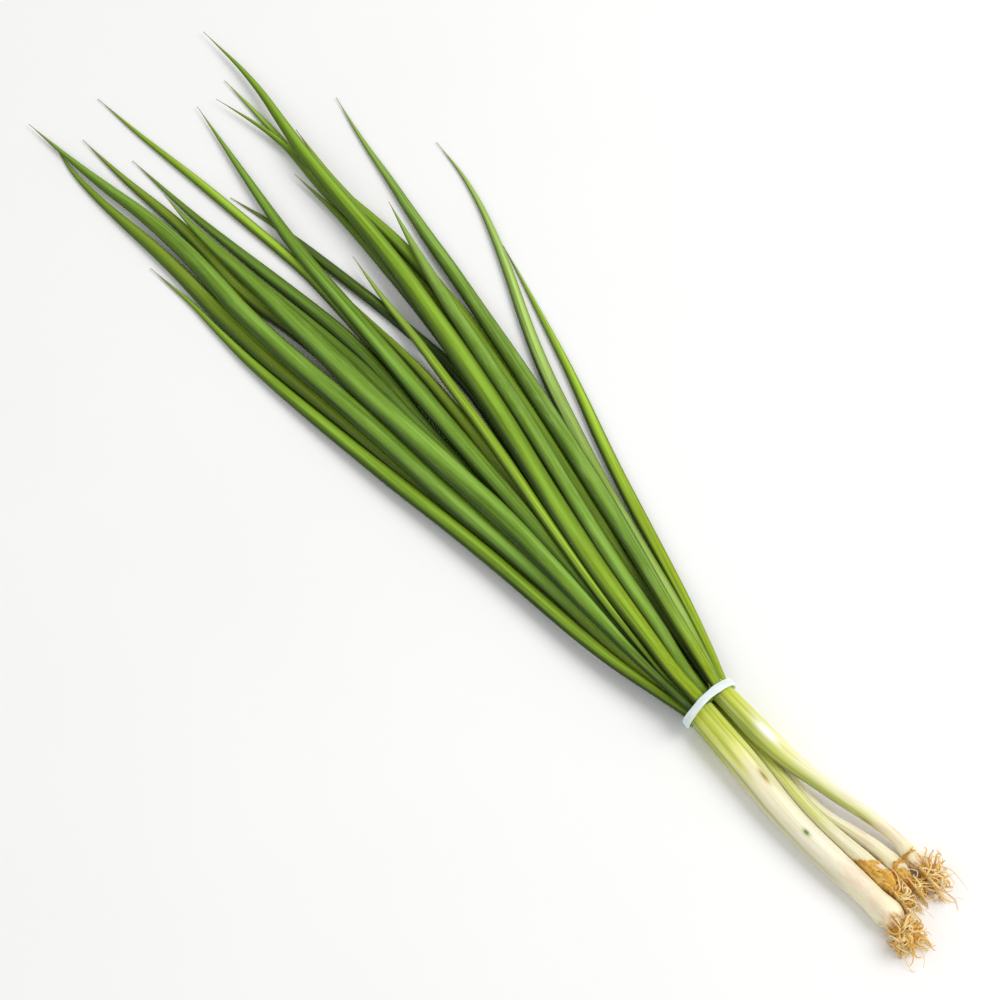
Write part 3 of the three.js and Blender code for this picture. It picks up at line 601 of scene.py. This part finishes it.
def make_shaft(index, name, look):
    draw = random.Random(200 + index)
    stations, *columns = sections_of(name)
    start, end = stations[0], stations[-1]
    x = np.append(np.arange(start, end - 0.5 * SHAFT_RING, SHAFT_RING), end)
    y, z, half, tall = (through(stations, column, x) for column in columns)
    forward, share = np.array(SHAFT_CLOSING).T
    x = np.concatenate([x, end + forward * MM])
    y, z = (np.concatenate([v, np.full_like(forward, v[-1])]) for v in (y, z))
    half, tall = (np.concatenate([v, v[-1] * share]) for v in (half, tall))
    length = end - start
    behind = end - x
    theta = np.linspace(0, 2 * math.pi, SHAFT_SIDES, endpoint=False)
    radius = np.ones((len(x), SHAFT_SIDES))
    groove_mask = np.zeros_like(radius)
    tints = {tint: np.zeros_like(radius) for tint in TINTS}
    for angle, depth, reach in look["grooves"]:
        slant = math.radians(angle) + 0.10 * np.sin(behind / (30 * MM) + draw.uniform(0, 6))
        away = np.angle(np.exp(1j * (theta[None, :] - slant[:, None])))
        fade = 1 - smoothstep(0.35 * reach * MM, reach * MM, behind)
        dip = np.where(away > 0, bell(away, 0, 0.22), bell(away, 0, 0.09)) * fade[:, None]
        radius -= depth * dip
        groove_mask = np.maximum(groove_mask, 0.75 * bell(away, 0, 0.09) * fade[:, None])
    for tint, angle, width, first, last, strength in look["stripes"]:
        away = np.angle(np.exp(1j * (theta - math.radians(angle))))
        run = smoothstep(first * MM - 6 * MM, first * MM + 6 * MM, behind)
        run = run * (1 - smoothstep(last * MM - 14 * MM, last * MM, behind))
        stripe = strength * run[:, None] * bell(away, 0, math.radians(width))[None, :]
        tints[tint] = np.maximum(tints[tint], stripe)
    ripple = 0.012 * np.sin(3 * theta[None, :] + behind[:, None] / (24 * MM) + draw.uniform(0, 6))
    ripple = ripple + 0.010 * np.sin(2 * theta[None, :] - behind[:, None] / (15 * MM))
    radius = radius + ripple
    marks = {kind: np.zeros_like(radius) for kind in ("spot", "scar", "film")}
    for owner, angle, place, width, size, kind in SHAFT_MARKS:
        if owner == name:
            away = np.angle(np.exp(1j * (theta - math.radians(angle))))
            round_it = bell(away, 0, math.radians(width))
            spot = round_it[None, :] * bell(behind, place * MM, size * MM)[:, None]
            marks[kind] = np.maximum(marks[kind], np.clip(1.3 * spot, 0, 1))
            radius = radius + (0.03 if kind == "film" else -0.03) * spot
    foot = smoothstep(length - 42 * MM, length - 12 * MM, behind)[:, None] * np.ones_like(radius)
    edge = 0.5 + 0.5 * np.sin(5 * theta + draw.uniform(0, 6))
    stain_from = length - (3.0 + 2.2 * edge) * MM
    stain = smoothstep(stain_from[None, :], stain_from[None, :] + 2.5 * MM, behind[:, None])
    wide = np.cos(theta)[None, :] * half[:, None] * radius
    high = np.sin(theta)[None, :] * tall[:, None] * radius
    rings = np.stack([
        np.broadcast_to(x[:, None], wide.shape),
        y[:, None] + wide,
        np.maximum(z[:, None] + high, 0.02 * MM),
    ], -1)
    points, faces = loft(rings)
    attributes = {
        "place": with_ends(place_round(theta, behind)),
        "groove": with_ends(groove_mask),
        "foot": with_ends(foot),
        "stain": with_ends(stain),
        **{key: with_ends(mask) for key, mask in {**tints, **marks}.items()},
    }
    material = shaft_material("skin_of_" + name, look, length, draw.uniform(0, 200))
    piece = make_mesh(name + "_sheaths", points, faces, attributes, material)
    finish_piece(piece, "shaft", name)


for index, (name, look) in enumerate(SHAFT_LOOKS.items()):
    make_shaft(index, name, look)


# ------------------------------------------------------------------ roots

def root_material():
    """Dry roots: each has its own tone, from cream to ochre, darker where it leaves the plate."""
    material, tree, shader = new_material(
        "dry_roots", Roughness=0.72, Specular_IOR_Level=0.3, Subsurface_Weight=0.15,
        Subsurface_Scale=0.6 * MM, Subsurface_Radius=(1.0, 0.7, 0.3))
    place = attribute(tree, "place", "Vector")
    tone = attribute(tree, "tone")
    blotch = streaks(tree, place, 0.6, 1.6, 4.0)
    uneven = math_node(tree, "MULTIPLY_ADD", blotch, 0.5, -0.25)
    mixed = math_node(tree, "ADD", tone, uneven)
    colour = ramp(tree, mixed, [
        (0.0, srgb(190, 130, 36)), (0.3, srgb(232, 182, 84)), (0.6, srgb(246, 212, 138)),
        (1.0, srgb(252, 236, 196))])
    start = spread(tree, attribute(tree, "run"), 0.0, 0.3, 0.50, 0.0)
    colour = mix(tree, start, colour, srgb(200, 140, 40))
    tree.links.new(colour, shader.inputs["Base Color"])
    bump(tree, shader, streaks(tree, place, 0.25, 0.5, 3.0, 5), 0.10 * MM, 0.6)
    return material


ROOT_SKIN = root_material()


def tube(path, radii, sides):
    """Rings of a thin tube along a path of points."""
    path = np.asarray(path)
    along = np.gradient(path, axis=0)
    along /= np.linalg.norm(along, axis=1)[:, None]
    side = np.cross(along, (0.0, 0.0, 1.0))
    side /= np.maximum(np.linalg.norm(side, axis=1), 1e-9)[:, None]
    over = np.cross(side, along)
    theta = np.linspace(0, 2 * math.pi, sides, endpoint=False)
    offsets = (side[:, None, :] * np.cos(theta)[None, :, None]
               - over[:, None, :] * np.sin(theta)[None, :, None])
    return path[:, None, :] + offsets * np.asarray(radii)[:, None, None], theta


# For each tuft: how many roots, their usual and their longest length in mm, the radius at
# their start in mm, how far they fan out to -Y and to +Y and upwards, and how fast they curl.
ROOT_LOOKS = {
    "onion_1_roots": (130, 9.6, 15, 0.52, (-0.62, 0.30), 0.40, 0.60),
    "onion_2_roots": (70, 10.4, 14, 0.46, (-0.75, 0.40), 0.40, 0.66),
    "onion_3_roots": (70, 10.0, 14, 0.46, (-0.80, 0.40), 0.45, 0.66),
    "onion_4_roots": (100, 10.8, 14, 0.50, (-0.80, 0.35), 0.40, 0.62),
}


# Dried skin still hanging on the feet of two shafts, in shreds: each is its course in mm ahead
# of the foot and aside from it, and its width in mm at the start, at the middle and at the end.
SHREDS = {
    "onion_2_roots": [
        ([(14, 3.6), (9.5, 2.7), (5, 1.7), (1, 0.6), (-3, -0.4)], (0.5, 2.0, 2.6)),
        ([(10, 2.6), (9.0, 1.0), (8.4, -1.0), (8.2, -3.0)], (2.2, 1.7, 0.5)),
        ([(7, 1.8), (3, 0.2), (-1, -1.4), (-5, -2.6)], (1.0, 2.8, 1.6)),
        ([(5, 0.6), (2, -1.6), (0, -3.4), (-3, -5.0)], (1.2, 2.8, 1.2)),
        ([(4, 1.4), (0, 1.0), (-4, 0.6), (-7, 1.0)], (1.6, 2.2, 0.8)),
        ([(12, 2.6), (8, 1.2), (5, -0.6), (3, -2.6)], (0.4, 1.2, 1.4)),
    ],
    "onion_3_roots": [
        ([(5, 4.6), (2.5, 2.6), (0, 1.2), (-3, 0.2)], (1.4, 2.6, 1.2)),
        ([(4, 2.2), (1.5, 0.6), (-1, -0.6)], (1.0, 2.0, 1.2)),
        ([(4.2, 2.4), (5.0, -0.6), (5.2, -3.2), (4.4, -6.0)], (1.3, 0.8, 0.3)),
        ([(5.6, 1.0), (4.2, -1.6), (4.8, -4.0), (5.6, -6.2)], (0.6, 0.5, 0.2)),
    ],
}


SHAFT_SECTIONS = {name: sections_of(name) for name in SHAFT_LOOKS}


def resting_height(x, y):
    """The height of the shafts' upper side at places x, y, or of the ground beside them."""
    height = np.zeros_like(x)
    for stations, *columns in SHAFT_SECTIONS.values():
        inside = np.clip(x, stations[0], stations[-1])
        middle, z, half, tall = (through(stations, column, inside) for column in columns)
        off = np.clip(np.abs(y - middle) / half, 0, 1)
        top = np.where(x > stations[0] - 1 * MM, z + tall * np.sqrt(1 - off**2), 0)
        height = np.maximum(height, np.where(off < 1, top, 0))
    return height


def drape(draw, foot, course, widths):
    """Rings of a thin crumpled ribbon laid over the shafts along its course."""
    course = np.array(course) * MM
    stations = np.linspace(0, 1, len(course))
    t = np.linspace(0, 1, SHRED_RINGS)
    x = foot.x + through(stations, course[:, 0], t)
    y = foot.y + through(stations, course[:, 1], t)
    half = through(np.array([0, 0.5, 1]), np.array(widths) * MM / 2, t)
    frayed = 0.25 * np.sin(19 * t + draw.uniform(0, 6))
    half = half * (1 + frayed + 0.15 * np.sin(41 * t + draw.uniform(0, 6)))
    along = np.stack([np.gradient(x), np.gradient(y)])
    along /= np.hypot(*along)
    theta = np.linspace(0, 2 * math.pi, SHRED_SIDES, endpoint=False)
    across, over = np.cos(theta), np.sin(theta)
    aside = half[:, None] * across
    wide = x[:, None] - along[1][:, None] * aside, y[:, None] + along[0][:, None] * aside
    ground = resting_height(*wide)
    height = 0.55 * ground + 0.45 * ground.max(1, keepdims=True)
    for _ in range(SHRED_EASING):
        before, after = np.vstack([height[:1], height[:-1]]), np.vstack([height[1:], height[-1:]])
        height = (before + height + after) / 3
    height = np.maximum(height, ground + 0.10 * MM)
    crumple = 0.22 * MM * np.sin(14 * t[:, None] + 3 * across + draw.uniform(0, 6))
    crumple = crumple + 0.14 * MM * np.sin(37 * t[:, None] - 5 * across + draw.uniform(0, 6))
    z = height + 0.35 * MM + crumple + 0.09 * MM * over
    length = float(np.hypot(np.diff(x), np.diff(y)).sum())
    return np.stack([*wide, z], -1), theta, length


def grow_root(draw, origin, heading, length, curl, radius, limits):
    """A root's path: it starts off along heading and curls at random, above the surface."""
    step = length / ROOT_STEPS
    place, way = Vector(origin), Vector(heading).normalized()
    bend = Vector((draw.gauss(0, 1), draw.gauss(0, 1), draw.gauss(0, 0.6))) * curl
    low, high = limits
    path = [place.copy()]
    for k in range(ROOT_STEPS):
        bend += Vector((draw.gauss(0, 1), draw.gauss(0, 1), draw.gauss(0, 0.7))) * curl * 0.55
        bend *= 0.80
        droop = Vector((0, 0, -0.12)) * (k / ROOT_STEPS)
        way = (way + 0.5 * bend + droop).normalized()
        place = place + way * step
        place.x = max(place.x, low.x)
        place.y = min(max(place.y, low.y), high.y)
        place.z = min(max(place.z, radius), high.z)
        path.append(place.copy())
    return path


def make_roots(index, name, look):
    count, usual, longest, thickness, fan, rise, curl = look
    draw = random.Random(300 + index)
    stations, y, z, half, tall = sections_of(name.replace("roots", "shaft"))
    foot = Vector((stations[0], y[0], z[0]))
    half_wide, half_tall = half[0], tall[0]
    low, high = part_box(name)
    limits = (low - Vector((2.0, 1.2, 0)) * MM, high + Vector((0, -1.2, 0.5)) * MM)
    points, faces, places, runs, tones = [], [], [], [], []

    def add(rings, theta, tone, length):
        more_points, more_faces = loft(rings)
        base = sum(len(p) for p in points)
        along = np.linspace(0, length, len(rings))
        points.append(more_points)
        faces.extend(tuple(i + base for i in face) for face in more_faces)
        places.append(with_ends(place_round(theta, along)) * (0.3, 0.3, 1.0) + draw.uniform(0, 90))
        runs.append(with_ends(np.broadcast_to((along / length)[:, None], rings.shape[:2])))
        tones.append(np.full(len(more_points), tone))

    # The root plate: a low knob that closes the foot of the shaft.
    theta = np.linspace(0, 2 * math.pi, 32, endpoint=False)
    knob = []
    for share, back in ((0.45, 4.0), (0.72, 3.4), (0.90, 2.2), (1.02, 0.8), (1.00, -0.3)):
        rough = 1 + 0.06 * np.sin(7 * theta + draw.uniform(0, 6)) + 0.05 * np.sin(11 * theta)
        ring = np.stack([
            np.full_like(theta, foot.x - back * MM),
            foot.y + share * half_wide * rough * np.cos(theta),
            np.maximum(foot.z + share * half_tall * rough * np.sin(theta), 0.05 * MM),
        ], -1)
        knob.append(ring)
    add(np.array(knob), theta, 0.12, 3 * MM)

    for i in range(count):
        turn = draw.uniform(0, 2 * math.pi)
        out = math.sqrt(draw.uniform(0.05, 1.0))
        across, above = out * math.cos(turn), out * math.sin(turn)
        origin = foot + Vector((
            draw.uniform(-3.2, -0.8) * MM, 0.82 * across * half_wide, 0.82 * above * half_tall))
        side = fan[0] + (fan[1] - fan[0]) * (0.5 + 0.5 * across) + draw.gauss(0, 0.18)
        heading = (-1.0, side, rise * above + draw.gauss(0, 0.12))
        long_one = draw.random() < 0.08
        length = (longest if long_one else usual * draw.uniform(0.55, 1.15)) * MM
        radius = thickness * MM * draw.uniform(0.45, 1.0) * (0.45 if long_one else 1.0)
        path = grow_root(draw, origin, heading, length, curl, radius, limits)
        radii = radius * (1 - 0.72 * np.linspace(0, 1, len(path)) ** 1.3)
        rings, around = tube(path, radii, ROOT_SIDES)
        add(rings, around, draw.uniform(0.15, 0.95), length)
    for shred in SHREDS.get(name, ()):
        rings, around, length = drape(draw, foot, *shred)
        add(rings, around, draw.uniform(0.15, 0.5), length)
    attributes = {
        "place": np.concatenate(places), "run": np.concatenate(runs), "tone": np.concatenate(tones)}
    piece = make_mesh(name + "_tuft", np.vstack(points), faces, attributes, ROOT_SKIN)
    finish_piece(piece, "roots", name)


for index, (name, look) in enumerate(ROOT_LOOKS.items()):
    make_roots(index, name, look)


# ------------------------------------------------------------------ rubber band

def band_material():
    """Pale, slightly cloudy rubber with fine lines round it."""
    material, tree, shader = new_material(
        "pale_rubber", Specular_IOR_Level=0.4, Subsurface_Weight=0.25, Subsurface_Scale=0.8 * MM,
        Subsurface_Radius=(0.8, 1.0, 1.0))
    place = attribute(tree, "place", "Vector")
    cloud = streaks(tree, place, 1.2, 5, 3.0)
    colour = ramp(tree, cloud, [
        (0.3, srgb(216, 229, 230)), (0.6, srgb(234, 243, 244)), (0.8, srgb(244, 248, 248))])
    tree.links.new(colour, shader.inputs["Base Color"])
    rough = spread(tree, cloud, 0.3, 0.7, 0.42, 0.58)
    tree.links.new(rough, shader.inputs["Roughness"])
    lines = streaks(tree, place, 0.22, 12, 2.0, 13)
    bump(tree, shader, lines, 0.08 * MM, 0.5)
    return material


def make_band():
    points = np.array([v.co[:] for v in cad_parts["rubber_band"].data.vertices])
    middle = (points[:, 1:].min(0) + points[:, 1:].max(0)) / 2
    # The band leans: its places along x follow its places across.
    slant, _ = np.polyfit(points[:, 1], points[:, 0], 1)
    theta = np.linspace(-math.pi, math.pi, BAND_POINTS, endpoint=False)
    # The loop's outer outline: how far the hull of its CAD solid reaches in each direction.
    facing = np.linspace(-math.pi, math.pi, BAND_FACINGS, endpoint=False)
    support = ((points[:, 1:] - middle) @ np.stack([np.cos(facing), np.sin(facing)])).max(0)
    toward = np.cos(theta[:, None] - facing[None, :])
    outside = np.where(toward > 0.05, support / np.maximum(toward, 0.05), np.inf).min(1)
    kernel = np.hanning(13)
    kernel /= kernel.sum()

    def eased(values):
        return np.convolve(np.concatenate([values[-6:], values, values[:6]]), kernel, "valid")

    thick = BAND_THICKNESS / 2
    core = eased(outside) - thick
    half_width = BAND_HALF_WIDTH * (1 + 0.05 * np.sin(3 * theta + 1) + 0.03 * np.sin(7 * theta))
    phi = np.linspace(0, 2 * math.pi, BAND_SIDES, endpoint=False)
    square = 2 / BAND_SQUARENESS
    u = np.sign(np.cos(phi)) * np.abs(np.cos(phi)) ** square
    v = np.sign(np.sin(phi)) * np.abs(np.sin(phi)) ** square
    radial = core[:, None] + thick * v[None, :] * (1 - 0.10 * (1 - u[None, :] ** 2))
    y = middle[0] + radial * np.cos(theta)[:, None]
    z = middle[1] + radial * np.sin(theta)[:, None]
    bow = BAND_BOW * np.clip(np.sin(theta), 0, 1) ** 1.5 - BAND_SET_BACK
    x = TIE_X + slant * (y - middle[0]) + bow[:, None] + half_width[:, None] * u[None, :]
    rings = np.stack([x, y, np.maximum(z, 0.01 * MM)], -1)
    faces = []
    for i in range(BAND_POINTS):
        for j in range(BAND_SIDES):
            a, b = i * BAND_SIDES, (i + 1) % BAND_POINTS * BAND_SIDES
            k = (j + 1) % BAND_SIDES
            faces.append((a + j, a + k, b + k, b + j))
    place = np.stack([
        1.3 * u[None, :] * np.ones_like(radial),
        2.6 * np.sin(theta)[:, None] + 0.5 * v[None, :],
        8.0 * np.cos(theta)[:, None] * np.ones_like(radial)], -1)
    piece = make_mesh("rubber_band_loop", rings.reshape(-1, 3), faces,
                      {"place": place.reshape(-1, 3)}, band_material())
    finish_piece(piece, "rubber_band", "rubber_band")


make_band()


# ------------------------------------------------------------------ floor, light and camera

def make_floor():
    mesh = bpy.data.meshes.new("floor")
    reach = FLOOR_REACH
    corners = [(-reach, -reach, 0), (reach, -reach, 0), (reach, reach, 0), (-reach, reach, 0)]
    mesh.from_pydata(corners, [], [(0, 1, 2, 3)])
    material, tree, shader = new_material("pale_floor", Roughness=0.9, Specular_IOR_Level=0.1)
    grain = node(tree, "ShaderNodeTexNoise", {"Scale": 30.0, "Detail": 3.0}).outputs["Fac"]
    dark, light = ((tone, tone, tone, 1) for tone in FLOOR_TONES)
    tree.links.new(ramp(tree, grain, [(0.3, dark), (0.7, light)]), shader.inputs["Base Color"])
    mesh.materials.append(material)
    floor = bpy.data.objects.new("floor", mesh)
    bpy.context.scene.collection.objects.link(floor)


def view_axes():
    azimuth, elevation = math.radians(VIEW_AZIMUTH), math.radians(VIEW_ELEVATION)
    back = Vector((math.sin(azimuth) * math.cos(elevation),
                   -math.cos(azimuth) * math.cos(elevation), math.sin(elevation)))
    right = Vector((0, 0, 1)).cross(back).normalized()
    return back, right, back.cross(right)


def add_light(name, direction, distance, size, power, colour):
    data = bpy.data.lights.new(name, "AREA")
    data.shape = "DISK"
    data.size = size
    data.energy = power
    data.color = colour
    light = bpy.data.objects.new(name, data)
    light.location = BUNCH_MIDDLE + direction.normalized() * distance
    light.rotation_mode = "QUATERNION"
    light.rotation_quaternion = direction.to_track_quat("Z", "Y")
    bpy.context.scene.collection.objects.link(light)


def light_and_camera():
    back, right, up = view_axes()
    scene = bpy.context.scene
    world = bpy.data.worlds.new("studio")
    world.use_nodes = True
    background = world.node_tree.nodes["Background"]
    background.inputs["Color"].default_value = (1.0, 1.0, 1.0, 1.0)
    background.inputs["Strength"].default_value = SKY_STRENGTH
    scene.world = world
    for name, ((b, r, u), *looks) in LIGHTS.items():
        add_light(name, b * back + r * right + u * up, *looks)
    scene.view_settings.view_transform = "Standard"
    data = bpy.data.cameras.new("camera")
    data.lens = VIEW_LENS
    data.sensor_width = VIEW_SENSOR
    data.clip_start = 0.01
    camera = bpy.data.objects.new("camera", data)
    target = Vector((BUNCH_MIDDLE.x + LOOK_ASIDE[0], BUNCH_MIDDLE.y + LOOK_ASIDE[1], 0))
    camera.location = target + VIEW_DISTANCE * back
    camera.rotation_mode = "QUATERNION"
    camera.rotation_quaternion = back.to_track_quat("Z", "Y")
    scene.collection.objects.link(camera)
    scene.camera = camera


make_floor()
light_and_camera()
